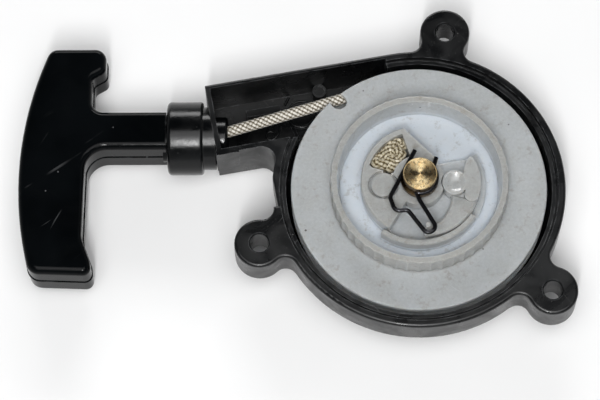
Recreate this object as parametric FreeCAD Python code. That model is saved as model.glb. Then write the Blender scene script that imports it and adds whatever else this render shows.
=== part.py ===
# Recoil starter of a small two-stroke engine: moulded housing with three ears and a rope box,
# nylon reel on a brass post, flat spiral spring, one pawl with a friction spring, rope and T-grip.
# Millimetres. +Z points to the engine, z = 0 is the mounting plane of the three ears,
# the origin is the centre of the bolt circle and +X runs along the rope box, away from the grip.
import FreeCAD, Part
import math
import os

from FreeCAD import Placement, Rotation, Vector

# ---- housing -------------------------------------------------------------------------------
BOLT_CIRCLE = 100.0            # diameter through the three ear holes
EAR_ANGLES = (70.0, 190.0, 310.0)
EAR_RADIUS = 7.4
EAR_THICKNESS = 11.0
EAR_HOLE_R = 2.75              # clears an M5 screw
EAR_MOUTH_R = 3.15             # chamfered mouth of an ear hole
EAR_MOUTH_DEPTH = 0.5
EAR_BLEND_R = 3.5              # fillet between an ear and the round wall
EDGE_ROUND = 0.9               # rounded outer edge of the ears and the wall
WALL_OUTER_R = 43.2
RIM_STEP_R = 41.1              # inner edge of the raised rim
GROOVE_INNER_R = 40.3          # groove between rim and inner ledge
GROOVE_DEPTH = 2.2
CAVITY_R = 39.2
LEDGE_DROP = 0.9
WALL_STRAIGHT_DEPTH = 10.5     # the wall is straight this far, then tapers to the back
BACK_R = 36.5
BACK_DEPTH = 19.6
DOME_R = 27.0
DOME_DEPTH = 21.0
FLOOR_DEPTH = 17.6
WEST_FLAT_X = -41.9            # flat on the wall between the rope box and an ear

BOX_END_X = -56.7
BOX_LOW_Y = 20.9
BOX_WALL = 1.4
BOX_DEPTH = 18.6
BOX_FLOOR_DEPTH = 17.0
BOX_BLEND_R = 4.0
FLOOR_RIDGE_R = 0.45             # half-round ridges on the floor of the box

# ---- centre post and reel --------------------------------------------------------------------
POST_R = 4.0
POST_HEAD_R = 5.0
POST_HEAD_TOP = 11.3
POST_HEAD_UNDER = 8.9
POST_NECK_R = 4.3
POST_COLLAR_R = 5.6
POST_COLLAR_TOP = 7.3
POST_COLLAR_UNDER = 5.9
RUNNING_GAP = 0.06
CENTRE_BOSS_R = 8.4
CENTRE_BOSS_TOP = -15.5
SCREW_RECESS_R = 7.0
SCREW_RECESS_TOP = -17.9
POST_SPIGOT_R = 3.0
SCREW_R = 2.0
SCREW_HEAD_R = 3.8
SCREW_HEAD_HEIGHT = 2.0
WASHER_R = 5.6
WASHER_THICKNESS = 0.8

FLANGE_R = 37.7
FLANGE_TOP = -0.85
FLANGE_UNDER = -2.85
GROOVE_FLOOR = -7.85
LOWER_FLANGE_UNDER = -9.45
GROOVE_HUB_R = 16.1
RING_OUTER_R = 26.1
RING_INNER_R = 23.3            # at the cup's floor
RING_MOUTH_R = 24.2            # at the ring's top
RING_TOP = 6.7
RING_LOBES = 48
RING_LOBE_DEPTH = 0.35
CUP_FLOOR = -1.2               # floor of the ring-shaped space that the engine's cup turns in
HUB_R = 17.2
HUB_TOP = 5.0
HUB_ROUND = 0.4
LOWER_HUB_R = 9.5
LOWER_HUB_BOTTOM = -15.2
SLEEVE_R = 7.4
NOTCH_ANGLE = 120.5            # notch in the upper flange that holds the rope for winding
NOTCH_R = 2.35
NOTCH_DEPTH = 4.2

# ---- rope ---------------------------------------------------------------------------------------
ROPE_R = 1.7
COIL_OUTER_R = 35.2            # centre line of the outermost turn
COIL_PITCH = 3.5
COIL_HALF_TURNS = 9
COIL_Z = -5.2
GUIDE_CORNER = (-56.2, 30.0, -8.7)   # where the rope turns into the guide
GUIDE_BEND_R = 20.0

# ---- rope guide and grip ----------------------------------------------------------------------
GRIP_ORIGIN = (-56.7, 29.5, -9.5)    # where the grip's axis meets the end wall of the box
GRIP_TILT = 10.2                     # the grip's axis is turned this far from -X
GUIDE_NECK_R = 9.4
GUIDE_COLLAR_R = 11.0
GUIDE_COLLAR_START = 2.9
GUIDE_COLLAR_END = 13.6
GUIDE_BORE_R = 3.4
GUIDE_SPIGOT_R = 5.0
GUIDE_LIP_R = 6.4
SOCKET_R = 7.4
SOCKET_FLOOR = 9.6
STEM_HALF_WIDTH = 5.9
STEM_SHOULDER = 13.95
STEM_SPIGOT_R = 7.0
STEM_TIP = 10.2
GRIP_THICKNESS = 16.6
GRIP_EDGE_R = 2.0
GRIP_SEAM_HEIGHT = 0.6         # raised mould seam round the middle of the handle
GRIP_SEAM_PROUD = 0.25
KNOT_POCKET_R = 5.2
KNOT_POCKET_FLOOR = 42.0
ROPE_HOLE_R = 2.1

# ---- recoil spring --------------------------------------------------------------------------------
STRIP_THICKNESS = 0.45
STRIP_TOP = -10.75
STRIP_BOTTOM = -17.25
STRIP_OUTER_R = 29.6
STRIP_PITCH = 1.9
STRIP_HALF_TURNS = 19
WELL_RING_R = (30.4, 32.0)
COVER_Z = (-10.35, -9.75)
COVER_R = 34.0

# ---- pawl and friction spring ---------------------------------------------------------------
PAWL_PIVOT = (10.1, -2.3)
PAWL_BOTTOM = 0.9
PAWL_TOP = 4.9
PAWL_ARM_TOP = 3.6
PAWL_ROUND = 0.6                 # bevel round the top of the arm
PAWL_FLOOR = 0.6
PAWL_PIN_R = 2.0
PAWL_BOSS_R = 3.7
PAWL_ROOM_R = 17.9             # outer wall of the room that the pawl's tail swings in
PAWL_PEG = (-0.5, -15.1)
PAWL_PEG_R = 0.7
WIRE_R = 0.65
WIRE_Z = 8.1


def cylinder(radius, low, high, x=0.0, y=0.0):
    return Part.makeCylinder(radius, high - low, Vector(x, y, low))


def ring(outer, inner, low, high):
    return cylinder(outer, low, high).cut(cylinder(inner, low - 1, high + 1))


def block(x0, x1, y0, y1, z0, z1):
    return Part.makeBox(x1 - x0, y1 - y0, z1 - z0, Vector(x0, y0, z0))


def polar(radius, degrees, z=0.0):
    angle = math.radians(degrees)
    return Vector(radius * math.cos(angle), radius * math.sin(angle), z)


def prism(points, low, high):
    """Upright prism on a polygon of (x, y) points."""
    corners = [Vector(x, y, low) for x, y in points]
    wire = Part.makePolygon(corners + [corners[0]])
    return Part.Face(wire).extrude(Vector(0, 0, high - low))


def outline_prism(steps, low, high):
    """Upright prism on an outline of ('line', p) and ('arc', mid, p) steps from a start point."""
    start = Vector(*steps[0], low)
    edges = []
    here = start
    for step in steps[1:]:
        there = Vector(*step[-1], low)
        if step[0] == "line":
            edges.append(Part.LineSegment(here, there).toShape())
        else:
            edges.append(Part.Arc(here, Vector(*step[1], low), there).toShape())
        here = there
    return Part.Face(Part.Wire(edges)).extrude(Vector(0, 0, high - low))


def rounded_prism(corners, low, high):
    """Upright prism on a closed polygon of ((x, y), radius) corners, each rounded by its radius."""
    count = len(corners)
    edges = []
    ends = []
    for index, (point, radius) in enumerate(corners):
        corner = Vector(*point, low)
        if radius == 0:
            ends.append((corner, corner, None))
            continue
        back = (Vector(*corners[index - 1][0], low) - corner).normalize()
        ahead = (Vector(*corners[(index + 1) % count][0], low) - corner).normalize()
        half = back.getAngle(ahead) / 2
        cut = radius / math.tan(half)
        bisector = (back + ahead).normalize()
        middle = corner + bisector * (radius / math.sin(half) - radius)
        ends.append((corner + back * cut, corner + ahead * cut, middle))
    for index, (enter, leave, middle) in enumerate(ends):
        if middle is not None:
            edges.append(Part.Arc(enter, middle, leave).toShape())
        edges.append(Part.LineSegment(leave, ends[(index + 1) % count][0]).toShape())
    return Part.Face(Part.Wire(edges)).extrude(Vector(0, 0, high - low))


def turned(profile):
    """Solid turned about Z from (radius, z) points."""
    corners = [Vector(r, 0, z) for r, z in profile]
    face = Part.Face(Part.makePolygon(corners + [corners[0]]))
    return face.revolve(Vector(0, 0, 0), Vector(0, 0, 1), 360)


def sector(radius, start, end, low, high):
    """Pie slice between two angles in degrees, counter-clockwise from start to end."""
    tip = Vector(0, 0, low)
    a = polar(radius, start, low)
    b = polar(radius, end, low)
    middle = polar(radius, (start + end) / 2, low)
    edges = [Part.LineSegment(tip, a).toShape(), Part.Arc(a, middle, b).toShape(),
             Part.LineSegment(b, tip).toShape()]
    return Part.Face(Part.Wire(edges)).extrude(Vector(0, 0, high - low))


def tube(edges, radius):
    """Round bar along a chain of tangent edges."""
    path = Part.Wire(edges)
    first = path.OrderedEdges[0]
    start = path.OrderedVertexes[0].Point
    at = first.FirstParameter
    if (first.valueAt(at) - start).Length > 1e-6:
        at = first.LastParameter
    direction = first.tangentAt(at)
    circle = Part.Wire(Part.Circle(start, direction, radius).toShape())
    return path.makePipeShell([circle], True, False, 2)


def rounded_path(points, radii):
    """Straight runs joined by tangent arcs; radii holds one radius per inner corner."""
    edges = []
    here = points[0]
    for index, radius in enumerate(radii, start=1):
        corner = points[index]
        back = (here - corner).normalize()
        ahead = (points[index + 1] - corner).normalize()
        half = back.getAngle(ahead) / 2
        cut = radius / math.tan(half)
        enter = corner + back * cut
        leave = corner + ahead * cut
        bisector = (back + ahead).normalize()
        middle = corner + bisector * (radius / math.sin(half) - radius)
        edges.append(Part.LineSegment(here, enter).toShape())
        edges.append(Part.Arc(enter, middle, leave).toShape())
        here = leave
    edges.append(Part.LineSegment(here, points[-1]).toShape())
    return edges


def half_turns(outer, pitch, count, start_angle, z):
    """Spiral of tangent half circles, winding clockwise inwards from start_angle."""
    edges = []
    for k in range(count):
        a = polar(outer - k * pitch / 2, start_angle - 180 * k, z)
        b = polar(outer - (k + 1) * pitch / 2, start_angle - 180 * (k + 1), z)
        centre = (a + b) * 0.5
        radius = (a - b).Length / 2
        middle = centre + polar(radius, start_angle - 180 * k - 90)
        edges.append(Part.Arc(a, middle, b).toShape())
    return edges


def on_grip_axis(shape):
    """Place a shape drawn with its axis on +X at the grip's axis."""
    placed = shape.copy()
    placed.Placement = Placement(Vector(*GRIP_ORIGIN), Rotation(Vector(0, 0, 1), 180 - GRIP_TILT))
    return placed


def grip_point(distance, z=GRIP_ORIGIN[2]):
    angle = math.radians(180 - GRIP_TILT)
    x, y, _ = GRIP_ORIGIN
    return Vector(x + distance * math.cos(angle), y + distance * math.sin(angle), z)


def along_x(radius, start, end):
    return Part.makeCylinder(radius, end - start, Vector(start, 0, 0), Vector(1, 0, 0))


def save(name, shape):
    solids = shape.Solids
    result = solids[0] if len(solids) == 1 else Part.makeCompound(solids)
    if not result.isValid():
        print("not valid:", name)
    result.exportStep("parts/" + name + ".step")
    print(name, len(solids), round(sum(s.Volume for s in solids), 1))


# ---- housing ------------------------------------------------------------------------------------
def ear_blank(angle):
    """Ear plate: round end joined to the wall by a tangent web and two concave blends."""
    hole = polar(BOLT_CIRCLE / 2, angle)
    plate = cylinder(EAR_RADIUS, -EAR_THICKNESS, 0, hole.x, hole.y)
    # the blend circle touches the wall and the ear circle from outside
    near = WALL_OUTER_R + EAR_BLEND_R
    far = EAR_RADIUS + EAR_BLEND_R
    span = BOLT_CIRCLE / 2
    cosine = (near**2 + span**2 - far**2) / (2 * near * span)
    offset = math.degrees(math.acos(cosine))
    left = polar(near, angle + offset)
    right = polar(near, angle - offset)
    inner = 38.0
    web = prism([(v.x, v.y) for v in (polar(inner, angle + offset), left, hole, right,
                                     polar(inner, angle - offset))], -EAR_THICKNESS, 0)
    for centre in (left, right):
        web = web.cut(cylinder(EAR_BLEND_R, -EAR_THICKNESS - 1, 1, centre.x, centre.y))
    return plate.fuse(web)


def box_blank():
    """Rope box with its concave blend into the round wall."""
    body = block(BOX_END_X, 0, BOX_LOW_Y, WALL_OUTER_R, -BOX_DEPTH, 0)
    rim = WALL_OUTER_R + BOX_BLEND_R
    y = BOX_LOW_Y - BOX_BLEND_R
    x = -math.sqrt(rim**2 - y**2)
    toe = Vector(x, y, 0) * (WALL_OUTER_R / rim)
    web = prism([(x, BOX_LOW_Y + 1), (x, y), (toe.x, toe.y), (-30, 12), (-30, BOX_LOW_Y + 1)],
                -BOX_DEPTH, 0)
    web = web.cut(cylinder(BOX_BLEND_R, -BOX_DEPTH - 1, 1, x, y))
    pad = block(BOX_END_X - 0.3, -50.2, BOX_LOW_Y - 0.5, BOX_LOW_Y + 1, -13.0, 0)
    return body.fuse(web).fuse(pad)


def floor_mouldings():
    """Low half-round ridges, rings and a bar on the floor of the rope box."""
    floor = -BOX_FLOOR_DEPTH
    up = Vector(0, 0, 1)
    body = block(-45.5, -35.0, 35.4, 37.6, floor - 0.5, -12.0)
    body = body.fuse(Part.makeTorus(1.35, FLOOR_RIDGE_R, Vector(-39.3, 30.1, floor), up))
    body = body.fuse(Part.makeTorus(4.2, FLOOR_RIDGE_R, Vector(-28.9, 35.3, floor), up))
    knock_out = cylinder(2.1, floor - 0.5, -12.0, -22.6, 39.9)
    body = body.fuse(knock_out.cut(cylinder(1.6, -12.4, -11.0, -22.6, 39.9)))
    curl = Part.Arc(Vector(-36.2, 33.3, floor), Vector(-36.7, 30.7, floor), Vector(-38.6, 28.9, floor))
    runs = [curl.toShape()]
    for start, end in (((-32.6, 33.1), (-31.2, 27.1)), ((-33.5, 38.9), (-31.8, 41.4))):
        runs.append(Part.LineSegment(Vector(*start, floor), Vector(*end, floor)).toShape())
    for run in runs:
        body = body.fuse(tube([run], FLOOR_RIDGE_R))
    return body


def soften(shape, top, radius):
    """Bevels the edges of a flat top."""
    edges = [e for e in shape.Edges if abs(e.BoundBox.ZMin - top) < 1e-6 and abs(e.BoundBox.ZMax - top) < 1e-6]
    return shape.makeChamfer(radius, edges)


def rounded_outer_edge(blank):
    """Rounds the top outer edge of the ears and the wall, but not the box."""
    edges = []
    for edge in blank.Edges:
        box = edge.BoundBox
        on_top = abs(box.ZMax) < 1e-6 and abs(box.ZMin) < 1e-6
        clear_of_box = box.XMax > -36 and box.YMax > 0 or box.YMax < 12
        if on_top and clear_of_box:
            edges.append(edge)
    return blank.makeFillet(EDGE_ROUND, edges)


def make_housing():
    blank = turned([(0, 0), (WALL_OUTER_R, 0), (WALL_OUTER_R, -WALL_STRAIGHT_DEPTH),
                    (WALL_OUTER_R - 1.6, -WALL_STRAIGHT_DEPTH - 4.2), (BACK_R, -BACK_DEPTH),
                    (DOME_R + 2.0, -BACK_DEPTH), (DOME_R, -DOME_DEPTH), (0, -DOME_DEPTH)])
    flat = block(-50, WEST_FLAT_X, -14, 12, -25, 1)
    blank = blank.cut(flat)
    blank = blank.fuse(box_blank())
    for angle in EAR_ANGLES:
        blank = blank.fuse(ear_blank(angle))
    blank = rounded_outer_edge(blank.removeSplitter())
    cavity = turned([(0, 1), (RIM_STEP_R, 1), (RIM_STEP_R, -GROOVE_DEPTH), (GROOVE_INNER_R, -GROOVE_DEPTH),
                     (GROOVE_INNER_R, -LEDGE_DROP), (CAVITY_R, -LEDGE_DROP),
                     (CAVITY_R, -WALL_STRAIGHT_DEPTH - 2.0), (BACK_R - 2.6, -FLOOR_DEPTH), (0, -FLOOR_DEPTH)])
    body = blank.cut(cavity)
    box_cavity = block(BOX_END_X + BOX_WALL, -2.0, BOX_LOW_Y + BOX_WALL, WALL_OUTER_R - BOX_WALL,
                       -BOX_FLOOR_DEPTH, 1)
    inside = cylinder(CAVITY_R, -BOX_FLOOR_DEPTH - 1, 2)
    body = body.cut(box_cavity.cut(inside))
    well = ring(WELL_RING_R[1], WELL_RING_R[0], -FLOOR_DEPTH - 0.5, COVER_Z[0] - 0.1)
    anchor = sector(WELL_RING_R[1] + 1, 261, 266, -FLOOR_DEPTH, COVER_Z[0] + 1)
    anchor = anchor.cut(cylinder(WELL_RING_R[0] - 1, -30, 5))
    body = body.fuse(well.cut(anchor))
    body = body.fuse(cylinder(CENTRE_BOSS_R, -FLOOR_DEPTH - 0.5, CENTRE_BOSS_TOP))
    body = body.cut(cylinder(SCREW_RECESS_R, -DOME_DEPTH - 1, SCREW_RECESS_TOP))
    body = body.cut(cylinder(POST_SPIGOT_R + 0.05, -DOME_DEPTH, 0))
    for angle in EAR_ANGLES:
        hole = polar(BOLT_CIRCLE / 2, angle)
        body = body.cut(cylinder(EAR_HOLE_R, -EAR_THICKNESS - 1, 1, hole.x, hole.y))
        body = body.cut(Part.makeCone(EAR_HOLE_R, EAR_MOUTH_R, EAR_MOUTH_DEPTH,
                                      Vector(hole.x, hole.y, -EAR_MOUTH_DEPTH)))
    body = body.cut(on_grip_axis(along_x(GUIDE_SPIGOT_R + 0.05, -3.5, 2.5)))
    return body.fuse(floor_mouldings()).removeSplitter()


# ---- centre post, its screw and washer ------------------------------------------------------------
def make_post():
    bore_bottom = CENTRE_BOSS_TOP - 1.5
    post = turned([(0, POST_HEAD_TOP), (POST_HEAD_R - 0.35, POST_HEAD_TOP), (POST_HEAD_R, POST_HEAD_TOP - 0.35),
                   (POST_HEAD_R, POST_HEAD_UNDER), (POST_NECK_R, POST_HEAD_UNDER),
                   (POST_NECK_R, POST_COLLAR_TOP), (POST_COLLAR_R, POST_COLLAR_TOP),
                   (POST_COLLAR_R, POST_COLLAR_UNDER), (POST_R, POST_COLLAR_UNDER),
                   (POST_R, CENTRE_BOSS_TOP), (POST_SPIGOT_R, CENTRE_BOSS_TOP),
                   (POST_SPIGOT_R, bore_bottom), (0, bore_bottom)])
    return post.cut(cylinder(SCREW_R + 0.05, bore_bottom - 1, CENTRE_BOSS_TOP + 8))


def make_post_screw():
    head_top = SCREW_RECESS_TOP - WASHER_THICKNESS
    head = cylinder(SCREW_HEAD_R, head_top - SCREW_HEAD_HEIGHT, head_top)
    rim = [e for e in head.Edges if abs(e.BoundBox.ZMax - (head_top - SCREW_HEAD_HEIGHT)) < 1e-6]
    head = head.makeFillet(0.8, rim[:1])
    for turn in (0, 90):
        slot = block(-2.2, 2.2, -0.45, 0.45, head_top - 3, head_top - 0.9)
        slot.rotate(Vector(0, 0, 0), Vector(0, 0, 1), turn)
        head = head.cut(slot)
    return head.fuse(cylinder(SCREW_R, head_top - 0.5, CENTRE_BOSS_TOP + 6))


def make_post_washer():
    return ring(WASHER_R, SCREW_R + 0.2, SCREW_RECESS_TOP - WASHER_THICKNESS, SCREW_RECESS_TOP)


# ---- recoil spring and its cover --------------------------------------------------------------
def make_recoil_spring():
    outer = half_turns(STRIP_OUTER_R, STRIP_PITCH, STRIP_HALF_TURNS, 262, STRIP_BOTTOM)
    inner = half_turns(STRIP_OUTER_R - STRIP_THICKNESS, STRIP_PITCH, STRIP_HALF_TURNS, 262, STRIP_BOTTOM)
    caps = [Part.LineSegment(outer[0].firstVertex(True).Point, inner[0].firstVertex(True).Point).toShape(),
            Part.LineSegment(outer[-1].lastVertex(True).Point, inner[-1].lastVertex(True).Point).toShape()]
    face = Part.Face(Part.Wire(Part.__sortEdges__(outer + inner + caps)))
    strip = face.extrude(Vector(0, 0, STRIP_TOP - STRIP_BOTTOM))
    tail = block(-0.2, STRIP_THICKNESS, 0, 2.4, STRIP_BOTTOM, STRIP_TOP)
    tail.translate(Vector(0, STRIP_OUTER_R - 0.3, 0))
    tail.rotate(Vector(0, 0, 0), Vector(0, 0, 1), 262 - 90 + 0.8)
    return strip.fuse(tail).removeSplitter()


def make_spring_cover():
    return ring(COVER_R, LOWER_HUB_R + 0.6, COVER_Z[0], COVER_Z[1])


# ---- reel ------------------------------------------------------------------------------------------
def rope_path_on_reel():
    """Centre line of the wound rope: tangent half circles, then an inward turn to the knot."""
    start = TANGENT_ANGLE
    edges = half_turns(COIL_OUTER_R, COIL_PITCH, COIL_HALF_TURNS, start, COIL_Z)
    a = polar(COIL_OUTER_R - COIL_HALF_TURNS * COIL_PITCH / 2, start - 180 * COIL_HALF_TURNS, COIL_Z)
    b = polar(COIL_OUTER_R - (COIL_HALF_TURNS + 1) * COIL_PITCH / 2,
              start - 180 * (COIL_HALF_TURNS + 1), COIL_Z)
    centre = (a + b) * 0.5
    radius = (a - b).Length / 2
    first = start - 180 * COIL_HALF_TURNS
    last = 152 - 360 * 5
    leave = centre + polar(radius, last)
    edges.append(Part.Arc(a, centre + polar(radius, (first + last) / 2), leave).toShape())
    turn = 6.0
    hub = leave - polar(turn, last)
    end = hub + polar(turn, last - 70)
    edges.append(Part.Arc(leave, hub + polar(turn, last - 35), end).toShape())
    return edges


def guide_corner_angle():
    """Angle on the coil at which the straight run to the guide is tangent."""
    x, y, _ = GUIDE_CORNER
    distance = math.hypot(x, y)
    return math.degrees(math.atan2(y, x)) - math.degrees(math.acos(COIL_OUTER_R / distance))


TANGENT_ANGLE = guide_corner_angle()


def drive_ring():
    base = CUP_FLOOR - 0.3
    body = turned([(RING_INNER_R, base), (RING_OUTER_R, base), (RING_OUTER_R, RING_TOP - 0.3),
                   (RING_OUTER_R - 0.3, RING_TOP), (RING_MOUTH_R, RING_TOP), (RING_INNER_R, CUP_FLOOR)])
    lobe = 2 * math.pi * RING_OUTER_R / RING_LOBES
    scallop_r = (lobe**2 / 4 + RING_LOBE_DEPTH**2) / (2 * RING_LOBE_DEPTH)
    cutters = []
    for k in range(RING_LOBES):
        at = polar(RING_OUTER_R + scallop_r - RING_LOBE_DEPTH, 360.0 * k / RING_LOBES)
        cutters.append(cylinder(scallop_r, FLANGE_TOP, RING_TOP + 1, at.x, at.y))
    return body.cut(Part.makeCompound(cutters))


def hub_blank():
    """Raised hub: main disc, opened on the pawl's side, with an arc wall behind the pawl's tail."""
    base = CUP_FLOOR - 0.3
    disc = turned([(0, base), (HUB_R, base), (HUB_R, HUB_TOP - HUB_ROUND), (HUB_R - HUB_ROUND, HUB_TOP),
                   (0, HUB_TOP)])
    opening = prism([(-1.9, 17.6), (6.4, 5.6), (24, 5.6), (24, 24), (-1.9, 24)], CUP_FLOOR, HUB_TOP + 1)
    disc = disc.cut(opening)
    swing = sector(30, -43, 40, PAWL_FLOOR, HUB_TOP + 1)
    tail_room = ring(PAWL_ROOM_R, SLEEVE_R, PAWL_FLOOR, HUB_TOP + 1).common(
        sector(30, -132, -40, PAWL_FLOOR - 1, HUB_TOP + 2))
    disc = disc.cut(swing).cut(tail_room)
    wall = ring(19.6, PAWL_ROOM_R, CUP_FLOOR - 0.3, HUB_TOP - 0.4).common(sector(30, -136, -44, -5, 9))
    wall = soften(wall, HUB_TOP - 0.4, HUB_ROUND)
    floor = ring(19.6, SLEEVE_R - 1, CUP_FLOOR - 0.3, PAWL_FLOOR).common(sector(30, -122, 20, -5, 9))
    sleeve = cylinder(SLEEVE_R, CUP_FLOOR - 0.3, HUB_TOP)
    hub = disc.fuse(wall).fuse(floor).fuse(sleeve)
    return hub.cut(cylinder(PAWL_BOSS_R + 0.3, PAWL_FLOOR, HUB_TOP + 1, *PAWL_PIVOT))


def knot_pocket():
    upper = ring(15.5, SLEEVE_R + 0.6, -3.0, HUB_TOP + 1).common(sector(30, 98, 153, -9, 9))
    lower = ring(14.4, SLEEVE_R + 0.6, GROOVE_FLOOR + 0.6, -2.5).common(sector(30, 98, 153, -9, 9))
    return upper.fuse(lower).common(cylinder(7.1, -20, 20, -6.8, 10.0))


def spare_boss():
    """Ring-shaped groove around the unused second pawl seat."""
    groove = cylinder(4.5, HUB_TOP - 1.6, HUB_TOP + 1, -10.7, 0.6)
    return groove.cut(cylinder(3.5, HUB_TOP - 3, HUB_TOP + 2, -10.7, 0.6))


def make_reel():
    body = turned([(0, HUB_TOP), (SLEEVE_R - 1, HUB_TOP), (SLEEVE_R - 1, CUP_FLOOR), (RING_INNER_R + 1, CUP_FLOOR),
                   (RING_INNER_R + 1, FLANGE_TOP), (FLANGE_R - 0.3, FLANGE_TOP), (FLANGE_R, FLANGE_TOP - 0.3),
                   (FLANGE_R, FLANGE_UNDER), (GROOVE_HUB_R, FLANGE_UNDER), (GROOVE_HUB_R, GROOVE_FLOOR),
                   (FLANGE_R, GROOVE_FLOOR), (FLANGE_R, LOWER_FLANGE_UNDER), (LOWER_HUB_R, LOWER_FLANGE_UNDER),
                   (LOWER_HUB_R, LOWER_HUB_BOTTOM), (0, LOWER_HUB_BOTTOM)])
    body = body.fuse(hub_blank()).fuse(drive_ring())
    body = body.cut(knot_pocket()).cut(spare_boss())
    body = body.cut(cylinder(POST_R + RUNNING_GAP, LOWER_HUB_BOTTOM - 1, HUB_TOP + 1))
    body = body.cut(cylinder(PAWL_PIN_R + RUNNING_GAP, PAWL_FLOOR - 4.2, HUB_TOP, *PAWL_PIVOT))
    notch_centre = FLANGE_R - NOTCH_DEPTH + NOTCH_R
    at = polar(notch_centre, NOTCH_ANGLE)
    notch = cylinder(NOTCH_R, FLANGE_UNDER - 0.5, FLANGE_TOP + 1, at.x, at.y)
    mouth = block(0, 8, -NOTCH_R, NOTCH_R, FLANGE_UNDER - 0.5, FLANGE_TOP + 1)
    mouth.translate(Vector(notch_centre, 0, 0))
    mouth.rotate(Vector(0, 0, 0), Vector(0, 0, 1), NOTCH_ANGLE)
    body = body.cut(notch).cut(mouth)
    entry = tube(rope_path_on_reel()[-1:], ROPE_R + 0.25)
    body = body.cut(entry)
    hook = block(LOWER_HUB_R - 1.6, LOWER_HUB_R + 1, -0.6, 0.6, LOWER_HUB_BOTTOM - 1, -11.0)
    return body.cut(hook).removeSplitter()


# ---- pawl and friction spring ------------------------------------------------------------------
def make_pawl():
    px, py = PAWL_PIVOT
    boss = cylinder(PAWL_BOSS_R, PAWL_BOTTOM, PAWL_TOP, px, py)
    claw = outline_prism([(12.6, -5.4), ("line", (12.9, -1.4)), ("arc", (13.7, 1.6), (15.4, 4.2)),
                          ("arc", (16.3, 4.6), (16.9, 4.0)), ("arc", (17.9, -1.9), (16.3, -7.3)),
                          ("arc", (14.0, -8.9), (12.6, -5.4))], PAWL_BOTTOM, PAWL_TOP)
    arm = outline_prism([(8.4, -5.2), ("line", (15.6, -8.6)), ("arc", (10.2, -14.2), (3.2, -16.6)),
                         ("line", (0.2, -16.7)), ("arc", (-1.7, -14.9), (0.2, -13.1)),
                         ("line", (2.4, -13.2)), ("arc", (6.4, -10.3), (8.4, -5.2))], PAWL_BOTTOM, PAWL_ARM_TOP)
    arm = soften(arm, PAWL_ARM_TOP, PAWL_ROUND)
    web = prism([(8.4, -5.2), (7.4, -3.0), (12.6, -5.4), (15.6, -8.6)], PAWL_BOTTOM, PAWL_ARM_TOP - PAWL_ROUND)
    body = boss.fuse(claw).fuse(arm).fuse(web)
    dimple = Part.makeSphere(6.0, Vector(px, py, PAWL_TOP + 5.1))
    body = body.cut(dimple)
    peg = cylinder(PAWL_PEG_R, 3.0, WIRE_Z + 0.7, *PAWL_PEG)
    pin = cylinder(PAWL_PIN_R, PAWL_FLOOR - 3.8, PAWL_BOTTOM + 1, px, py)
    return body.fuse(peg).fuse(pin).removeSplitter()


def make_friction_spring():
    """Wire clip: both sides of the bight rest on the post's neck, the loop holds the pawl's peg."""
    grip = POST_NECK_R + WIRE_R + 0.02
    side = math.radians(142.5)
    touch = Vector(grip * math.cos(side), grip * math.sin(side), WIRE_Z)
    run = Vector(math.sin(side), -math.cos(side), 0)
    hug_start = polar(grip, -112, WIRE_Z)
    hug_end = polar(grip, 28, WIRE_Z)
    corners = [(-9.1, -9.1), (-5.4, -9.3), (-1.3, -17.65), (1.9, -16.3)]
    loop = [touch + run * 6.8, touch - run * 9.5] + [Vector(x, y, WIRE_Z) for x, y in corners]
    joint = hug_start + Vector(0.35, -2.2, 0)
    edges = rounded_path(loop + [joint], [2.2, 2.0, 1.6, 1.7, 1.7])
    bridge = Part.LineSegment(joint, hug_start).toShape()
    hug = Part.Arc(hug_start, polar(grip, -42, WIRE_Z), hug_end).toShape()
    tip = Part.LineSegment(hug_end, Vector(5.9, 5.1, WIRE_Z)).toShape()
    pieces = tube(edges, WIRE_R)
    for edge in (bridge, tip):
        pieces = pieces.fuse(tube([edge], WIRE_R))
    pieces = pieces.fuse(tube([hug], WIRE_R))
    for corner in (joint, hug_start, hug_end):
        pieces = pieces.fuse(Part.makeSphere(WIRE_R, corner))
    return pieces.removeSplitter()


# ---- rope ------------------------------------------------------------------------------------------
def make_rope_coil():
    return tube(rope_path_on_reel(), ROPE_R)


def make_rope_knot():
    """Stopper knot pulled down into its pocket, with the pocket's own outline."""
    inner = SLEEVE_R + 1.0
    wedge = sector(30, 101, 150, -9, 9)
    lump = ring(15.0, inner, -2.3, 2.9).fuse(ring(14.0, inner, -3.4, -2.2)).common(wedge)
    return lump.common(cylinder(6.6, -9, 9, -6.8, 10.0)).removeSplitter()


def rope_run_points():
    tangent = polar(COIL_OUTER_R, TANGENT_ANGLE, COIL_Z)
    return [tangent, Vector(*GUIDE_CORNER), grip_point(12.0)]


def make_rope_run():
    points = rope_run_points()
    start = points[0] + (points[1] - points[0]).normalize() * 0.3
    far = points[1] + (points[2] - points[1]) * 0.55
    return tube(rounded_path([start, points[1], far], [GUIDE_BEND_R]), ROPE_R)


def make_rope_lead():
    points = rope_run_points()
    start = points[1] + (points[2] - points[1]) * 0.555
    return tube(rounded_path([start, points[2], grip_point(KNOT_POCKET_FLOOR + 1.0)], [14.0]), ROPE_R)


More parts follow.
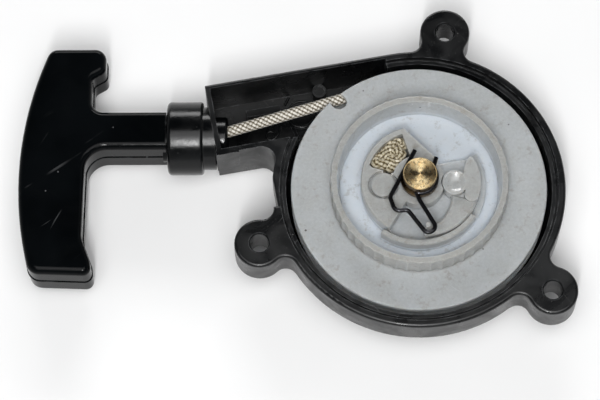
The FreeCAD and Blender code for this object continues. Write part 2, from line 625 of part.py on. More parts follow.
# ---- rope guide and grip ------------------------------------------------------------------------
def make_rope_guide():
    collar = along_x(GUIDE_COLLAR_R, GUIDE_COLLAR_START, GUIDE_COLLAR_END)
    mouth = [e for e in collar.Edges if abs(e.BoundBox.XMin - GUIDE_COLLAR_END) < 1e-6
             and abs(e.BoundBox.XMax - GUIDE_COLLAR_END) < 1e-6]
    collar = collar.makeFillet(1.3, mouth[:1])
    heel = [e for e in collar.Edges if abs(e.BoundBox.XMin - GUIDE_COLLAR_START) < 1e-6
            and abs(e.BoundBox.XMax - GUIDE_COLLAR_START) < 1e-6]
    collar = collar.makeFillet(0.9, heel[:1])
    body = collar.fuse(along_x(GUIDE_NECK_R, -0.8, GUIDE_COLLAR_START + 2))
    body = body.fuse(along_x(GUIDE_SPIGOT_R, -4.0, 1.0))
    lip = along_x(GUIDE_LIP_R, -4.4, -0.5)
    front = [e for e in lip.Edges if abs(e.BoundBox.XMax + 4.4) < 1e-6]
    body = body.fuse(lip.makeFillet(1.0, front[:1]))
    body = body.cut(along_x(GUIDE_BORE_R, -6, GUIDE_COLLAR_END))
    funnel = Part.makeCone(GUIDE_BORE_R, GUIDE_BORE_R + 1.5, 1.6, Vector(-2.9, 0, 0), Vector(-1, 0, 0))
    body = body.cut(funnel)
    body = body.cut(along_x(SOCKET_R, SOCKET_FLOOR, GUIDE_COLLAR_END + 1))
    body = on_grip_axis(body)
    slab = block(BOX_END_X - 0.04, BOX_END_X + BOX_WALL + 0.04, 0, 60, -40, 20)
    slab = slab.cut(on_grip_axis(along_x(GUIDE_SPIGOT_R, -8, 8)))
    outside = block(-90, BOX_END_X - 0.04, 0, 60, -40, 20)
    neck_part = body.common(outside)
    inner_part = body.common(block(BOX_END_X - 0.04, -40, 0, 60, -40, 20)).cut(slab)
    inner_part = inner_part.common(on_grip_axis(along_x(GUIDE_LIP_R + 0.01, -6, 3)))
    return neck_part.fuse(inner_part).removeSplitter()


def grip_outline():
    """Offset T: the stem meets the bar above its middle; both bar ends hook towards the stem."""
    w = STEM_HALF_WIDTH
    return [((STEM_SHOULDER, -w), 0), ((36.2, -w), 3.6), ((36.2, -16.6), 2.0), ((32.2, -18.9), 2.2),
            ((32.2, -26.2), 3.4), ((49.0, -26.2), 3.4), ((62.0, 8.0), 108.0), ((53.6, 44.6), 4.0),
            ((35.0, 45.3), 2.3), ((35.6, 40.8), 3.0), ((38.3, 33.5), 8.0), ((37.8, w), 6.5),
            ((STEM_SHOULDER, w), 0)]


def make_grip():
    half = GRIP_THICKNESS / 2
    body = rounded_prism(grip_outline(), -half, half)
    edges = [e for e in body.Edges if abs(abs(e.BoundBox.ZMax) - half) < 1e-6
             and abs(e.BoundBox.ZMax - e.BoundBox.ZMin) < 1e-6 and e.BoundBox.XMax > STEM_SHOULDER + 0.1]
    body = body.makeFillet(GRIP_EDGE_R, edges)
    section = rounded_prism(grip_outline(), -GRIP_SEAM_HEIGHT / 2, 0).Faces
    lowest = min(section, key=lambda face: face.CenterOfMass.z)
    seam = lowest.makeOffset2D(GRIP_SEAM_PROUD).extrude(Vector(0, 0, GRIP_SEAM_HEIGHT))
    body = body.fuse(seam)
    body = body.fuse(along_x(STEM_SPIGOT_R, STEM_TIP, STEM_SHOULDER + 1))
    body = body.cut(along_x(ROPE_HOLE_R, STEM_TIP - 1, KNOT_POCKET_FLOOR + 1))
    body = body.cut(along_x(KNOT_POCKET_R, KNOT_POCKET_FLOOR, 70))
    return on_grip_axis(body.removeSplitter())


def make_grip_washer():
    disc = along_x(KNOT_POCKET_R - 0.2, KNOT_POCKET_FLOOR + 0.02, KNOT_POCKET_FLOOR + 1.0)
    return on_grip_axis(disc.cut(along_x(ROPE_HOLE_R, 0, 70)))


def make_grip_knot():
    knot = Part.makeSphere(3.9, Vector(KNOT_POCKET_FLOOR + 4.9, 0, 0))
    knot = knot.fuse(Part.makeSphere(3.1, Vector(KNOT_POCKET_FLOOR + 7.0, 1.2, 0.8)))
    return on_grip_axis(knot.common(along_x(KNOT_POCKET_R - 0.3, KNOT_POCKET_FLOOR + 1.04, 60)))


def make_grip_cap():
    skirt = along_x(KNOT_POCKET_R - 0.02, 52.4, 58).cut(along_x(KNOT_POCKET_R - 1.2, 50, 55.0))
    half = GRIP_THICKNESS / 2
    outline = rounded_prism(grip_outline(), -half, half)
    return on_grip_axis(skirt.common(outline))


PARTS = {
    "housing": make_housing,
    "centre_post": make_post,
    "post_screw": make_post_screw,
    "post_washer": make_post_washer,
    "recoil_spring": make_recoil_spring,
    "spring_cover": make_spring_cover,
    "reel": make_reel,
    "pawl": make_pawl,
    "friction_spring": make_friction_spring,
    "rope_coil": make_rope_coil,
    "rope_knot": make_rope_knot,
    "rope_run": make_rope_run,
    "rope_lead": make_rope_lead,
    "rope_guide": make_rope_guide,
    "grip": make_grip,
    "grip_washer": make_grip_washer,
    "grip_knot": make_grip_knot,
    "grip_cap": make_grip_cap,
}

os.makedirs("parts", exist_ok=True)
for part_name, maker in PARTS.items():
    save(part_name, maker())
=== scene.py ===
"""Recoil starter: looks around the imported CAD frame, in metres."""
import math

import bpy
import numpy as np
from mathutils import Matrix, Vector


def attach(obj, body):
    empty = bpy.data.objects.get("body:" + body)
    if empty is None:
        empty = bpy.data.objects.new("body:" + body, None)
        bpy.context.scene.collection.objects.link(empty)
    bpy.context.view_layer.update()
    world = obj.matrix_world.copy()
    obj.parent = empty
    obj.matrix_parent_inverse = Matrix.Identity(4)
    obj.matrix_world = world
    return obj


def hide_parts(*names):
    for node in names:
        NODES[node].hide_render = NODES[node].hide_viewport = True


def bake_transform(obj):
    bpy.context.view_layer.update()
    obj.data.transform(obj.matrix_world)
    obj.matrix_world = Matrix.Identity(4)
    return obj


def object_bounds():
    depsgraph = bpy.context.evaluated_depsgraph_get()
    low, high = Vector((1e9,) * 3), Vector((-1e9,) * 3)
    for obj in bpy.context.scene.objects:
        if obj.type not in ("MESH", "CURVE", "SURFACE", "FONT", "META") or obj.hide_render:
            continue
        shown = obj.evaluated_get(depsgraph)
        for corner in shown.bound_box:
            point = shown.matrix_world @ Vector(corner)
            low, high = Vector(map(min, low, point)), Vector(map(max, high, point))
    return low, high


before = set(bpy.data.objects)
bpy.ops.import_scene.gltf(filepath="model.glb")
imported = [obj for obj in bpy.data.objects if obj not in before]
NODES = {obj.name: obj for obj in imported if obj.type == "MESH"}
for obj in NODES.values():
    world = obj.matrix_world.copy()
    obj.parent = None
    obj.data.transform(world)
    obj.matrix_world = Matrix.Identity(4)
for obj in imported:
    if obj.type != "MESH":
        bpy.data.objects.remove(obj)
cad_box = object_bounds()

MM = 0.001
TAU = 2 * math.pi


# ---- camera, floor and light --------------------------------------------------------------------
CAMERA_AT = Vector((-75.71, -267.68, 763.12)) * MM
CAMERA_LOOK = Vector((0.050, 0.333, -0.9416))
CAMERA_UP = Vector((0.171, 0.926, 0.3366))
CAMERA_LENS = 165.5
SENSOR_WIDTH = 36.0


def make_camera():
    data = bpy.data.cameras.new("photo_view")
    data.sensor_width = SENSOR_WIDTH
    data.lens = CAMERA_LENS
    data.clip_start = 0.02
    camera = bpy.data.objects.new("photo_view", data)
    bpy.context.scene.collection.objects.link(camera)
    back = -CAMERA_LOOK.normalized()
    right = CAMERA_UP.cross(back).normalized()
    up = back.cross(right)
    turn = Matrix((right, up, back)).transposed().to_4x4()
    camera.matrix_world = Matrix.Translation(CAMERA_AT) @ turn
    bpy.context.scene.camera = camera


def make_panel(name, place, target, size, power):
    """A soft rectangular studio light."""
    data = bpy.data.lights.new(name, "AREA")
    data.shape = "RECTANGLE"
    data.size, data.size_y = size
    data.energy = power
    light = bpy.data.objects.new(name, data)
    bpy.context.scene.collection.objects.link(light)
    light.location = place
    aim = Vector(target) - Vector(place)
    light.rotation_euler = aim.to_track_quat("-Z", "Y").to_euler()


# name, place, target, size in metres, power in watts
PANELS = (
    ("key_panel", (-0.14, -0.50, 0.88), (0.0, 0.0, 0.0), (0.8, 0.6), 3.7),
    ("narrow_strip", (-0.17, -0.52, 0.85), (0.0, 0.0, 0.0), (0.06, 0.34), 4.5),
    ("zenith_panel", (-0.03, -0.13, 0.95), (-0.03, -0.13, 0.0), (0.8, 0.46), 3.8),
    ("back_panel", (0.15, 1.15, 0.55), (0.0, 0.0, 0.0), (0.9, 0.35), 8.0),
)


def make_world():
    """Pale walls around the table that darken towards the ceiling."""
    world = bpy.data.worlds.new("studio")
    bpy.context.scene.world = world
    world.use_nodes = True
    tree = world.node_tree
    place = tree.nodes.new("ShaderNodeTexCoord")
    split = tree.nodes.new("ShaderNodeSeparateXYZ")
    ramp = tree.nodes.new("ShaderNodeValToRGB")
    tree.links.new(place.outputs["Generated"], split.inputs[0])
    tree.links.new(split.outputs["Z"], ramp.inputs["Fac"])
    stops = ramp.color_ramp.elements
    stops[0].position, stops[0].color = 0.0, (0.62, 0.63, 0.64, 1)
    stops[1].position, stops[1].color = 0.80, (0.012, 0.012, 0.014, 1)
    wall = stops.new(0.45)
    wall.color = (0.24, 0.245, 0.25, 1)
    tree.links.new(ramp.outputs["Color"], tree.nodes["Background"].inputs["Color"])
    tree.nodes["Background"].inputs["Strength"].default_value = 0.9


# ---- node materials -----------------------------------------------------------------------------
class Finish:
    """One node material around a Principled shader."""

    def __init__(self, name, **values):
        self.material = bpy.data.materials.new(name)
        self.material.use_nodes = True
        self.tree = self.material.node_tree
        self.shader = self.tree.nodes["Principled BSDF"]
        for label, value in values.items():
            self.shader.inputs[label.replace("_", " ")].default_value = value
        self.place = self.node("TexCoord").outputs["Object"]

    def node(self, kind, **settings):
        made = self.tree.nodes.new("ShaderNode" + kind)
        for key, value in settings.items():
            setattr(made, key, value)
        return made

    def link(self, source, target):
        if hasattr(source, "is_linked"):
            self.tree.links.new(source, target)
        else:
            target.default_value = source

    def math(self, operation, a, b=0.0, clamp=False):
        made = self.node("Math", operation=operation, use_clamp=clamp)
        self.link(a, made.inputs[0])
        self.link(b, made.inputs[1])
        return made.outputs[0]

    def noise(self, size, detail=3.0, rough=0.55, warp=0.0, place=None):
        """Noise whose largest features are about size mm across."""
        made = self.node("TexNoise")
        self.link(place or self.place, made.inputs["Vector"])
        made.inputs["Scale"].default_value = 1000.0 / size
        made.inputs["Detail"].default_value = detail
        made.inputs["Roughness"].default_value = rough
        made.inputs["Distortion"].default_value = warp
        return made.outputs["Fac"]

    def stretch(self, scale, turn=(0.0, 0.0, 0.0)):
        """Coordinates on turned axes, which draw noise out along the axes that have a small scale."""
        made = self.node("Mapping", vector_type="TEXTURE")
        self.link(self.place, made.inputs["Vector"])
        made.inputs["Scale"].default_value = [1 / v for v in scale]
        made.inputs["Rotation"].default_value = turn
        return made.outputs["Vector"]

    def ramp(self, source, low, high, a=0.0, b=1.0):
        """Maps low..high to a..b, smoothly, and holds beyond."""
        made = self.node("MapRange", interpolation_type="SMOOTHSTEP")
        self.link(source, made.inputs["Value"])
        for label, value in (("From Min", low), ("From Max", high), ("To Min", a), ("To Max", b)):
            made.inputs[label].default_value = value
        return made.outputs["Result"]

    def mix(self, amount, a, b):
        made = self.node("Mix", data_type="RGBA")
        self.link(amount, made.inputs[0])
        for value, socket in ((a, made.inputs[6]), (b, made.inputs[7])):
            self.link(value if hasattr(value, "is_linked") else (*value, 1.0), socket)
        return made.outputs[2]

    def cells(self, size):
        """Random cells: distance to the middle, and one random number for each cell."""
        made = self.node("TexVoronoi")
        self.link(self.place, made.inputs["Vector"])
        made.inputs["Scale"].default_value = 1000.0 / size
        parts = self.node("SeparateColor")
        self.link(made.outputs["Color"], parts.inputs[0])
        return made.outputs["Distance"], parts.outputs[0]

    def specks(self, size, radius, share):
        """1 inside small round specks in that share of the cells."""
        distance, pick = self.cells(size)
        near = self.ramp(distance, radius * 1.6, radius)
        chosen = self.math("GREATER_THAN", pick, 1.0 - share)
        return self.math("MULTIPLY", near, chosen)

    def edge(self, radius):
        """1 on outward edges, about radius mm wide."""
        soft = self.node("Bevel", samples=4)
        soft.inputs["Radius"].default_value = radius * MM
        flat = self.node("NewGeometry")
        dot = self.node("VectorMath", operation="DOT_PRODUCT")
        self.link(soft.outputs["Normal"], dot.inputs[0])
        self.link(flat.outputs["Normal"], dot.inputs[1])
        return self.ramp(dot.outputs["Value"], 0.995, 0.86)

    def scratches(self, turn, low, high):
        """Thin hair marks, all in roughly one direction."""
        lines = self.noise(1.0, 2.0, 0.5, 0.0, self.stretch((1.0, 0.045, 0.3), (0.0, 0.0, turn)))
        patch = self.noise(17.0, 1.0)
        return self.math("MULTIPLY", self.ramp(lines, low, high), self.ramp(patch, 0.5, 0.62))

    def bump(self, height, depth):
        """Relief depth mm high over the height's 0..1."""
        made = self.node("Bump")
        made.inputs["Distance"].default_value = depth * MM
        self.link(height, made.inputs["Height"])
        self.link(made.outputs["Normal"], self.shader.inputs["Normal"])

    def colour(self, source):
        self.link(source, self.shader.inputs["Base Color"])

    def rough(self, source):
        self.link(source, self.shader.inputs["Roughness"])


def black_moulding(name, low, high, grain, edge_wear_and_highlight, gloss):
    """Moulded black plastic: fine grain, dull and shiny patches, dust, hair marks and paler edges, partly
    wear and partly a painted highlight.
    """
    f = Finish(name, Specular_IOR_Level=0.4)
    cloud = f.noise(26.0, 4.0)
    base = f.mix(f.ramp(cloud, 0.35, 0.68), low, high)
    marks = f.math("MAXIMUM", f.scratches(0.5, 0.70, 0.76), f.scratches(-0.9, 0.71, 0.77))
    dust = f.math("MAXIMUM", f.specks(2.6, 0.055, 0.16), f.math("MULTIPLY", marks, 0.35))
    dust = f.math("MAXIMUM", dust, f.math("MULTIPLY", f.specks(0.9, 0.17, 0.3), 0.14))
    base = f.mix(f.math("MULTIPLY", dust, 0.55), base, (0.16, 0.16, 0.155))
    # paler edges: partly wear, partly a painted highlight standing in for light caught along the edges
    pale_edge = f.math("MULTIPLY", f.edge(0.35), f.ramp(f.noise(3.0, 3.0), 0.35, 0.65))
    f.colour(f.mix(f.math("MULTIPLY", pale_edge, edge_wear_and_highlight), base, (0.15, 0.155, 0.16)))
    patch = f.ramp(f.noise(9.0, 3.0, 0.6, 0.6), 0.32, 0.7, gloss[0], gloss[1])
    f.rough(f.math("ADD", patch, f.math("MULTIPLY", marks, 0.18), clamp=True))
    fine = f.noise(grain, 2.0)
    wave = f.noise(5.5, 1.0)
    height = f.math("ADD", f.math("MULTIPLY", fine, 0.35), f.math("MULTIPLY", wave, 1.0))
    f.bump(f.math("SUBTRACT", height, f.math("MULTIPLY", marks, 0.8)), 0.012)
    return f.material


def grip_gloss():
    """Shiny black handle plastic with a slight orange peel and a few rubbed places."""
    f = Finish("grip_gloss", Specular_IOR_Level=0.08)
    base = f.mix(f.ramp(f.noise(30.0), 0.35, 0.65), (0.0010, 0.0014, 0.0017), (0.0022, 0.0028, 0.0033))
    marks = f.math("MAXIMUM", f.scratches(-1.13, 0.68, 0.74), f.scratches(-0.7, 0.71, 0.77))
    lint = f.specks(4.5, 0.04, 0.12)
    pale_edge = f.math("MULTIPLY", f.edge(0.5), f.ramp(f.noise(4.0, 3.0), 0.45, 0.7))
    pale = f.math("MAXIMUM", f.math("MULTIPLY", marks, 0.25), f.math("MULTIPLY", pale_edge, 0.18))
    pale = f.math("MAXIMUM", pale, f.math("MULTIPLY", lint, 0.5))
    f.colour(f.mix(pale, base, (0.16, 0.165, 0.17)))
    smear = f.ramp(f.noise(11.0, 3.0, 0.6, 1.0), 0.35, 0.7, 0.10, 0.21)
    f.rough(f.math("ADD", smear, f.math("MULTIPLY", marks, 0.22), clamp=True))
    peel = f.math("ADD", f.noise(2.2, 1.0), f.math("MULTIPLY", f.noise(7.0, 1.0), 1.6))
    f.bump(f.math("SUBTRACT", peel, f.math("MULTIPLY", marks, 0.5)), 0.012)
    return f.material


def nylon(name, cool, warm, rings, gloss, depth, floor=None):
    """Natural white nylon: milky, with flow marks, hair marks, grime and dark specks.
    rings are (inner radius, outer radius, amount) of warm tint, and floor is (radius, height, colour):
    what lies inside that radius and below that height is painted paler, a painted glow of light through the
    thin floor."""
    f = Finish(name, Subsurface_Weight=0.85, Subsurface_Scale=depth * MM, IOR=1.5,
               Subsurface_Radius=(1.0, 0.9, 0.8), Coat_Weight=0.5, Coat_Roughness=0.06)
    place = f.node("SeparateXYZ")
    f.link(f.place, place.inputs[0])
    x, y = place.outputs["X"], place.outputs["Y"]
    square = f.math("ADD", f.math("MULTIPLY", x, x), f.math("MULTIPLY", y, y))
    radius = f.math("SQRT", square)
    tint = f.ramp(f.noise(14.0, 3.0, 0.6, 0.5), 0.3, 0.7, 0.0, 0.35)
    for inner, outer, amount in rings:
        inside = f.ramp(radius, (inner - 0.5) * MM, (inner + 0.3) * MM)
        outside = f.ramp(radius, (outer + 0.5) * MM, (outer - 0.3) * MM)
        band = f.math("MULTIPLY", f.math("MULTIPLY", inside, outside), amount)
        tint = f.math("MAXIMUM", tint, band)
    base = f.mix(tint, cool, warm)
    # painted light: inside the cup the floor is painted paler, standing in for light that glows through the
    # thin floor
    if floor:
        inside = f.ramp(radius, (floor[0] + 0.5) * MM, (floor[0] - 0.5) * MM)
        under = f.ramp(place.outputs["Z"], (floor[1] + 0.8) * MM, (floor[1] - 0.2) * MM)
        base = f.mix(f.math("MULTIPLY", inside, under), base, floor[2])
    mottle = f.ramp(f.noise(0.9, 2.0, 0.7), 0.42, 0.62, 0.0, 0.09)
    marks = f.math("MULTIPLY", f.scratches(0.8, 0.69, 0.75), 0.35)
    base = f.mix(f.math("MAXIMUM", mottle, marks), base, (0.66, 0.68, 0.70))
    grime = f.math("MULTIPLY", f.ramp(f.noise(2.4, 4.0, 0.7), 0.54, 0.70), 0.36)
    base = f.mix(grime, base, (0.20, 0.17, 0.125))
    dots = f.math("MAXIMUM", f.specks(9.0, 0.035, 0.16), f.specks(5.0, 0.05, 0.1))
    f.colour(f.mix(f.math("MULTIPLY", dots, 0.85), base, (0.035, 0.025, 0.018)))
    f.rough(f.ramp(f.noise(6.0, 3.0, 0.6, 0.4), 0.3, 0.7, gloss[0], gloss[1]))
    flow = f.math("ADD", f.noise(4.5, 2.0), f.math("MULTIPLY", f.noise(0.5, 2.0), 0.18))
    f.bump(flow, 0.06)
    return f.material


HEAD_EDGE_Z = 11.2               # below this height the post is painted dark: a painted shade and dark reflection under the head


def turned_brass():
    """Lathe-turned brass: fine rings round the axis, tarnish blots, handling nicks, painted shade and dark
    reflection under the head.
    """
    f = Finish("turned_brass", Metallic=1.0, Anisotropic=0.8, Anisotropic_Rotation=0.25)
    direction = f.node("Tangent", direction_type="RADIAL", axis="Z")
    f.link(direction.outputs[0], f.shader.inputs["Tangent"])
    rings = f.node("TexWave", wave_type="RINGS", rings_direction="Z")
    f.link(f.place, rings.inputs["Vector"])
    rings.inputs["Scale"].default_value = 1300.0
    rings.inputs["Distortion"].default_value = 0.8
    blot = f.ramp(f.noise(1.5, 4.0, 0.7), 0.50, 0.68)
    nick = f.specks(0.8, 0.14, 0.2)
    dark = f.math("MAXIMUM", f.math("MULTIPLY", blot, 0.3), f.math("MULTIPLY", nick, 0.45))
    height = f.node("SeparateXYZ")
    f.link(f.place, height.inputs[0])
    # painted shade: below the head's edge the brass is painted dark brown, standing in for shade and dark
    # reflections
    painted_shade_under_head = f.ramp(height.outputs["Z"], HEAD_EDGE_Z * MM, (HEAD_EDGE_Z - 0.3) * MM, 0.0, 0.93)
    bright = f.mix(f.ramp(f.noise(1.0, 2.0), 0.3, 0.7), (0.88, 0.62, 0.30), (0.98, 0.79, 0.46))
    base = f.mix(dark, bright, (0.13, 0.085, 0.035))
    f.colour(f.mix(painted_shade_under_head, base, (0.05, 0.028, 0.012)))
    f.rough(f.ramp(f.noise(1.4, 3.0), 0.3, 0.7, 0.22, 0.34))
    grooves = f.math("MULTIPLY", rings.outputs["Fac"], 0.8)
    f.bump(f.math("SUBTRACT", grooves, f.math("MULTIPLY", nick, 1.0)), 0.004)
    return f.material


def metal(name, low, high, gloss, grain, blots):
    """Plated or blued steel with drawn lines and darker blots."""
    f = Finish(name, Metallic=0.9)
    drawn = f.noise(grain, 3.0, 0.6, 0.0, f.stretch((1.0, 1.0, 0.12)))
    base = f.mix(f.ramp(drawn, 0.3, 0.7), low, high)
    dark = f.math("MULTIPLY", f.ramp(f.noise(3.5, 4.0, 0.65), 0.5, 0.68), blots)
    f.colour(f.mix(dark, base, tuple(v * 0.35 for v in low)))
    f.rough(f.ramp(f.noise(2.0, 3.0), 0.3, 0.7, gloss[0], gloss[1]))
    f.bump(drawn, 0.006)
    return f.material


def braid_fibre(name, painted_gap_shade, body, light, gloss):
    """Braided polyester: fine fibres, tan flecks, and colour graded with strand height: painted shade in
    the gaps between strands and a painted highlight on the strand tops.
    """
    f = Finish(name, Sheen_Weight=0.25, Sheen_Roughness=0.4)
    height = f.node("Attribute", attribute_name="strand").outputs["Fac"]
    # painted shade: the colour darkens with strand height into the gaps between strands, and a painted
    # highlight pales the strand tops
    base = f.mix(f.ramp(height, 0.48, 0.78), painted_gap_shade, body)
    base = f.mix(f.ramp(height, 0.72, 0.97), base, light)
    fleck = f.math("MULTIPLY", f.ramp(f.noise(0.9, 3.0, 0.7), 0.53, 0.64), 0.55)
    base = f.mix(fleck, base, tuple(v * 0.55 for v in body))
    f.colour(base)
    f.rough(f.ramp(f.noise(0.5, 2.0), 0.3, 0.7, gloss[0], gloss[1]))
    f.bump(f.noise(0.16, 2.0), 0.035)
    return f.material


def rubber():
    """Satin black rubber: dull skin with a fine pore and paler rubbed rims."""
    f = Finish("satin_rubber", Specular_IOR_Level=0.25)
    base = f.mix(f.ramp(f.noise(12.0, 4.0), 0.35, 0.7), (0.0012, 0.0015, 0.0018), (0.0028, 0.0032, 0.0036))
    dust = f.math("MULTIPLY", f.specks(1.7, 0.07, 0.2), 0.35)
    pale_edge = f.math("MULTIPLY", f.edge(0.5), 0.2)
    f.colour(f.mix(f.math("MAXIMUM", dust, pale_edge), base, (0.09, 0.09, 0.088)))
    f.rough(f.ramp(f.noise(4.0, 3.0, 0.6, 0.5), 0.3, 0.7, 0.14, 0.27))
    pores = f.math("ADD", f.noise(0.6, 2.0), f.math("MULTIPLY", f.noise(3.5, 1.0), 1.4))
    f.bump(pores, 0.018)
    return f.material


def floor_finish():
    f = Finish("pale_table", Roughness=0.55, Specular_IOR_Level=0.3)
    f.colour(f.mix(f.ramp(f.noise(90.0, 3.0), 0.3, 0.7), (0.80, 0.80, 0.80), (0.83, 0.83, 0.83)))
    f.bump(f.noise(1.2, 2.0), 0.004)
    return f.material


def dress(material, *names):
    """Gives whole CAD nodes one finish."""
    for name in names:
        slots = NODES[name].data.materials
        if not slots:
            slots.append(material)
        for i in range(len(slots)):
            slots[i] = material


# ---- rope ---------------------------------------------------------------------------------------
ROPE_R = 1.7
COIL_OUTER_R = 35.2
COIL_PITCH = 3.5
COIL_HALF_TURNS = 9
COIL_Z = -5.2
GUIDE_CORNER = np.array((-56.2, 30.0, -8.7))
GUIDE_BEND_R = 20.0
GRIP_ORIGIN = np.array((-56.7, 29.5, -9.5))
GRIP_TILT = math.radians(10.2)
GRIP_AXIS = np.array((-math.cos(GRIP_TILT), math.sin(GRIP_TILT), 0.0))
PULL = 700.0                     # the handle's travel
STRANDS = 6                      # strands that wind each way
STRAND_PITCH = 3.2               # mm along the rope for one strand to pass the next twice
LONG_SIDES, LONG_STEP = 24, 0.4  # mesh of the winding and the lead
RUN_SIDES, RUN_STEP = 64, 0.16   # finer where the camera sees the strands
KNOT_SIDES, KNOT_STEP = 40, 0.17

COIL_R = ROPE_R - 0.02           # a hair thinner than the run it leads into
COIL_END_ANGLE = 152.0 - 5 * 360.0           # where the innermost turn leaves the coil
KNOT_ENTRY_R, KNOT_ENTRY_SWEEP = 6.0, 70.0   # its bend inwards to the knot
GUIDE_TURN_AT = 12.0             # along the grip's axis, where the rope from the guide's corner meets it
RUN_GAP = 0.3                    # between the coil's end and the straight run
RUN_SHARE, LEAD_SHARE = 0.55, 0.545   # where run and lead overlap, from the corner (0) to the turn (1)
LEAD_BEND_R = 14.0
LEAD_END = 43.0                  # along the grip's axis
LEAD_STRETCH = (8.0, 40.0)       # along the grip's axis, where the lead goes over from guide to grip
KNOT_MIDDLE = (-6.7, 10.4, 0.0)
KNOT_LENGTH, KNOT_WIDTH = 5.1, 2.7    # half sizes of the knot's loops
KNOT_ROPE_R = 1.7

TANGENT_ANGLE = math.degrees(
    math.atan2(GUIDE_CORNER[1], GUIDE_CORNER[0])
    - math.acos(COIL_OUTER_R / math.hypot(GUIDE_CORNER[0], GUIDE_CORNER[1])))


def polar(radius, degrees, z=0.0):
    a = math.radians(degrees)
    return np.array((radius * math.cos(a), radius * math.sin(a), z))


def arc(centre, radius, first, last, step=0.4):
    count = max(3, int(abs(math.radians(last - first)) * radius / step))
    return [centre + polar(radius, a) for a in np.linspace(first, last, count)]


def unit(v):
    return v / np.linalg.norm(v)


def along(points, step):
    """The same line with points a given step apart, and the distance run at each."""
    points = np.array(points, float)
    run = np.concatenate(([0.0], np.cumsum(np.linalg.norm(np.diff(points, axis=0), axis=1))))
    keep = np.concatenate(([True], np.diff(run) > 1e-6))
    points, run = points[keep], run[keep]
    at = np.linspace(0.0, run[-1], max(3, int(run[-1] / step)))
    return np.stack([np.interp(at, run, points[:, i]) for i in range(3)], 1), at


def bend(before, corner, after, radius, step=0.4):
    """Two runs joined by a tangent arc."""
    back, ahead = unit(before - corner), unit(after - corner)
    half = math.acos(float(np.clip(back @ ahead, -1, 1))) / 2
    cut = radius / math.tan(half)
    middle = corner + unit(back + ahead) * (radius / math.sin(half))
    enter, leave = corner + back * cut, corner + ahead * cut
    side, other = enter - middle, leave - middle
    sweep = math.acos(float(np.clip(unit(side) @ unit(other), -1, 1)))
    count = max(4, int(sweep * radius / step))
    inside = []
    for t in np.linspace(0.0, 1.0, count):
        mixed = side * math.sin((1 - t) * sweep) + other * math.sin(t * sweep)
        inside.append(middle + mixed / math.sin(sweep))
    return [before] + inside + [after]


def coil_line():
    """Clockwise tangent half circles, then a turn inwards to the knot."""
    line = []
    for k in range(COIL_HALF_TURNS + 1):
        first = TANGENT_ANGLE - 180.0 * k
        a = polar(COIL_OUTER_R - k * COIL_PITCH / 2, first, COIL_Z)
        b = polar(COIL_OUTER_R - (k + 1) * COIL_PITCH / 2, first - 180, COIL_Z)
        last = first - 180.0 if k < COIL_HALF_TURNS else COIL_END_ANGLE
        centre, radius = (a + b) / 2, np.linalg.norm(a - b) / 2
        line += arc(centre, radius, first, last)
    leave = centre + polar(radius, last)
    hub = leave - polar(KNOT_ENTRY_R, last)
    return line + arc(hub, KNOT_ENTRY_R, last, last - KNOT_ENTRY_SWEEP)


def run_ends():
    tangent = polar(COIL_OUTER_R, TANGENT_ANGLE, COIL_Z)
    return tangent, GUIDE_CORNER, GRIP_ORIGIN + GRIP_AXIS * GUIDE_TURN_AT


def frames(line):
    """A direction and two sides at every point, carried along without twisting."""
    ahead = np.gradient(line, axis=0)
    ahead /= np.linalg.norm(ahead, axis=1)[:, None]
    side = np.zeros_like(line)
    seed = np.array((0.0, 0.0, 1.0))
    if abs(ahead[0] @ seed) > 0.9:
        seed = np.array((1.0, 0.0, 0.0))
    for i, d in enumerate(ahead):
        seed = unit(seed - d * (seed @ d))
        side[i] = seed
    return ahead, side, np.cross(ahead, side)


def braid_height(turn, travel, pitch):
    """Height 0..1 of the braid's surface: two families of strands, each passing over and under."""
    a = turn * STRANDS + travel / pitch
    b = turn * STRANDS - travel / pitch
    i, j = np.round(a), np.round(b)
    over = 0.42 * np.cos(np.pi * (b - j)) * np.where((i + j) % 2 == 0, 1.0, -1.0)
    first = np.sqrt(np.clip(1 - (2.0 * (a - i)) ** 2, 0, 1)) * 0.75 + over
    second = np.sqrt(np.clip(1 - (2.0 * (b - j)) ** 2, 0, 1)) * 0.75 - over
    return np.clip(np.maximum(first, second) / 1.15, 0.0, 1.0)


def braided(name, line, radius, around, step, relief=0.34, travel=None, lumps=0.0):
    """A closed rope with its strands modelled in relief: around sides, and a ring every step mm.
    travel is the rope's own length at each point, when the line's points already stand for the rings."""
    if travel is None:
        line, travel = along(line, step)
    ahead, side, up = frames(line)
    count = len(line)
    turn = np.arange(around) / around
    height = braid_height(turn[None, :], travel[:, None], STRAND_PITCH / 2)
    angle = TAU * turn
    first = np.sin(2.3 * travel[:, None] + 2 * angle[None, :])
    second = np.sin(1.1 * travel[:, None] - 3 * angle[None, :])
    uneven = first * second
    r = radius - relief * (1 - height) + lumps * uneven
    across = side[:, None, :] * np.cos(angle)[None, :, None]
    across = across + up[:, None, :] * np.sin(angle)[None, :, None]
    skin = line[:, None, :] + across * r[:, :, None]
    verts = list(skin.reshape(-1, 3) * MM) + [line[0] * MM, line[-1] * MM]
    faces = []
    for k in range(count - 1):
        base = k * around
        for n in range(around):
            m = (n + 1) % around
            faces.append((base + n, base + m, base + around + m, base + around + n))
    head, tail = count * around, count * around + 1
    end = (count - 1) * around
    for n in range(around):
        m = (n + 1) % around
        faces.append((head, m, n))
        faces.append((tail, end + n, end + m))
    mesh = bpy.data.meshes.new(name)
    mesh.from_pydata([tuple(v) for v in verts], [], faces)
    mesh.shade_smooth()
    strand = mesh.attributes.new("strand", "FLOAT", "POINT")
    heights = np.concatenate((height.reshape(-1), (0.3, 0.3)))       # the two end caps lie in shade
    strand.data.foreach_set("value", heights.astype(np.float32))
    piece = bpy.data.objects.new(name, mesh)
    bpy.context.scene.collection.objects.link(piece)
    return piece


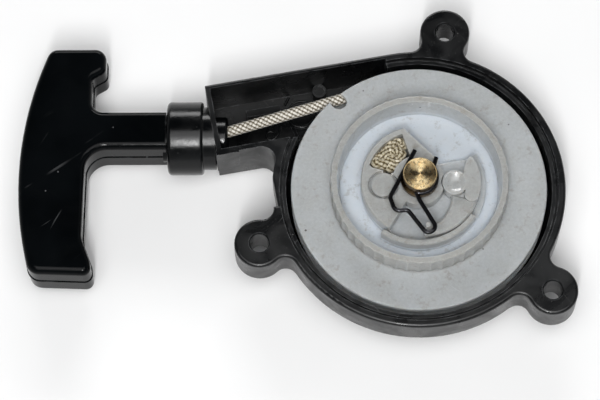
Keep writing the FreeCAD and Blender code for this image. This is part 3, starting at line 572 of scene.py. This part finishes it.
def make_coil(finish):
    piece = braided("rope_winding", coil_line(), COIL_R, LONG_SIDES, LONG_STEP)
    piece.data.materials.append(finish)
    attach(piece, "reel_body")
    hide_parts("rope_coil")


def make_run(finish):
    tangent, corner, far = run_ends()
    start = tangent + unit(corner - tangent) * RUN_GAP
    end = corner + (far - corner) * RUN_SHARE
    line = bend(start, corner, end, GUIDE_BEND_R)
    piece = braided("rope_to_guide", line, ROPE_R, RUN_SIDES, RUN_STEP)
    piece.data.materials.append(finish)
    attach(piece, "housing_body")
    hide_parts("rope_run")


def make_lead(finish):
    """The rope inside the guide and the stem, its braid packed tight so that it is even when pulled out."""
    _, corner, far = run_ends()
    start = corner + (far - corner) * LEAD_SHARE
    end = GRIP_ORIGIN + GRIP_AXIS * LEAD_END
    line, at = along(bend(start, far, end, LEAD_BEND_R, 0.1), 0.05)
    low, high = (GRIP_ORIGIN + GRIP_AXIS * at_mm for at_mm in LEAD_STRETCH)
    t = np.clip((line - low) @ (high - low) / ((high - low) @ (high - low)), 0, 1)
    pulled = at + PULL * t * t * (3 - 2 * t)
    travel = np.linspace(0.0, pulled[-1], int(pulled[-1] / LONG_STEP))
    line = np.stack([np.interp(travel, pulled, line[:, i]) for i in range(3)], 1)
    piece = braided("rope_lead_out", line, ROPE_R, LONG_SIDES, LONG_STEP, travel=travel)
    piece.data.materials.append(finish)
    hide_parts("rope_lead")
    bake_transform(piece)


def make_knot(finish):
    """A pulled-down stopper knot that fills the pocket beside the hub, in two layers of loops."""
    middle = np.array(KNOT_MIDDLE)
    out = unit(np.array((middle[0], middle[1], 0.0)))
    tangent = np.array((out[1], -out[0], 0.0))
    line = []
    for t in np.linspace(0.25, 2 * TAU - 0.25, 460):
        lay = 1.0 if t < TAU else -1.0
        level = math.tanh((TAU - t) * 4)
        u = lay * KNOT_LENGTH * (math.sin(t) + 2 * math.sin(2 * t)) / 2.75
        v = KNOT_WIDTH * (math.cos(t) - 2 * math.cos(2 * t)) / 2.6
        z = -0.9 * level + 0.55 * math.sin(3 * t) + 0.5
        line.append(middle + tangent * u + out * v + np.array((0.0, 0.0, z)))
    piece = braided("rope_stopper_knot", line, KNOT_ROPE_R, KNOT_SIDES, KNOT_STEP, relief=0.5, lumps=0.3)
    piece.data.materials.append(finish)
    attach(piece, "reel_body")
    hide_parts("rope_knot")


# ---- build --------------------------------------------------------------------------------------
make_camera()
make_world()
for panel in PANELS:
    make_panel(*panel)

dress(black_moulding("housing_moulding", (0.0012, 0.0014, 0.0017), (0.0042, 0.0047, 0.0052),
                     0.45, 0.75, (0.24, 0.42)), "housing")
dress(grip_gloss(), "grip", "grip_cap")
dress(rubber(), "rope_guide")
cool, warm = (0.385, 0.402, 0.41), (0.28, 0.282, 0.27)
# the cup floor's paler colour is painted light
cup_floor_painted_light = (23.4, 0.2, (0.54, 0.58, 0.62))
reel_bands = ((0.0, 19.7, 0.8), (24.2, 26.3, 0.9))
dress(nylon("reel_nylon_finish", cool, warm, reel_bands, (0.28, 0.42), 4.0, cup_floor_painted_light), "reel")
dress(nylon("pawl_nylon_finish", (0.35, 0.36, 0.358), (0.31, 0.305, 0.285), (), (0.14, 0.26), 4.0), "pawl")
dress(turned_brass(), "centre_post")
dress(metal("black_wire_finish", (0.016, 0.016, 0.018), (0.042, 0.042, 0.046),
            (0.10, 0.20), 0.5, 0.4), "friction_spring")
dress(metal("blued_strip", (0.09, 0.10, 0.13), (0.20, 0.21, 0.24), (0.2, 0.35), 0.8, 0.5), "recoil_spring")
dress(metal("plated_steel", (0.42, 0.42, 0.41), (0.58, 0.58, 0.56), (0.22, 0.4), 0.8, 0.4),
      "post_screw", "post_washer", "spring_cover", "grip_washer")
rope = braid_fibre("rope_fibre", (0.05, 0.035, 0.02), (0.37, 0.33, 0.25), (0.78, 0.75, 0.69), (0.38, 0.56))
knot = braid_fibre("knot_fibre", (0.045, 0.028, 0.010), (0.29, 0.24, 0.14), (0.55, 0.50, 0.38), (0.14, 0.3))
dress(rope, "grip_knot")
make_coil(rope)
make_run(rope)
make_lead(rope)
make_knot(knot)

floor_mesh = bpy.data.meshes.new("table_top")
edge, low = 3.0, cad_box[0][2] - 0.0002
corners = [(-edge, -edge, low), (edge, -edge, low), (edge, edge, low), (-edge, edge, low)]
floor_mesh.from_pydata(corners, [], [(0, 1, 2, 3)])
floor = bpy.data.objects.new("table_top", floor_mesh)
bpy.context.scene.collection.objects.link(floor)
floor_mesh.materials.append(floor_finish())

bpy.context.scene.view_settings.view_transform = "Standard"
